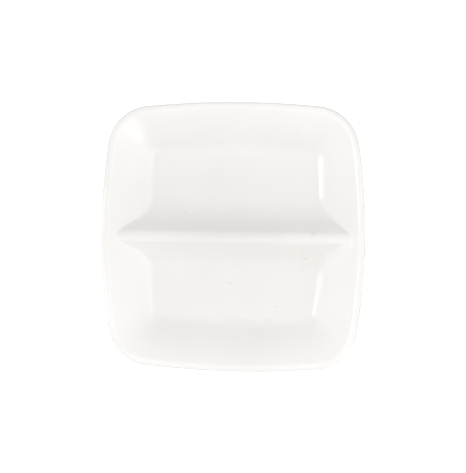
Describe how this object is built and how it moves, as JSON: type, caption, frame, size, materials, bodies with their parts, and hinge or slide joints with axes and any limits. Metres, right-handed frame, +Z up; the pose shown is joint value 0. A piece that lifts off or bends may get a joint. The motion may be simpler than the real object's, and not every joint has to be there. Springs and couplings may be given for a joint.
{
  "type": "divided serving bowl",
  "caption": "Square glazed ceramic serving dish with bowed sides, sloping walls and a raised divider between equal wells, standing on a bare foot ring.",
  "frame": {"origin": "on the table, under the middle of the dish", "axes": "+Z up; +X along the divider; +Y towards the rear well"},
  "size_m": [0.1508, 0.1528, 0.0293],
  "materials": {
    "bisque": "matte fired clay, bare on the foot",
    "white_glaze": "glossy warm white glaze"
  },
  "bodies": {
    "root": {"pan": "bisque", "divider": "bisque", "foot_ring": "bisque", "glaze_coat": "white_glaze", "underside_glaze": "white_glaze"}
  },
  "joints": []
}
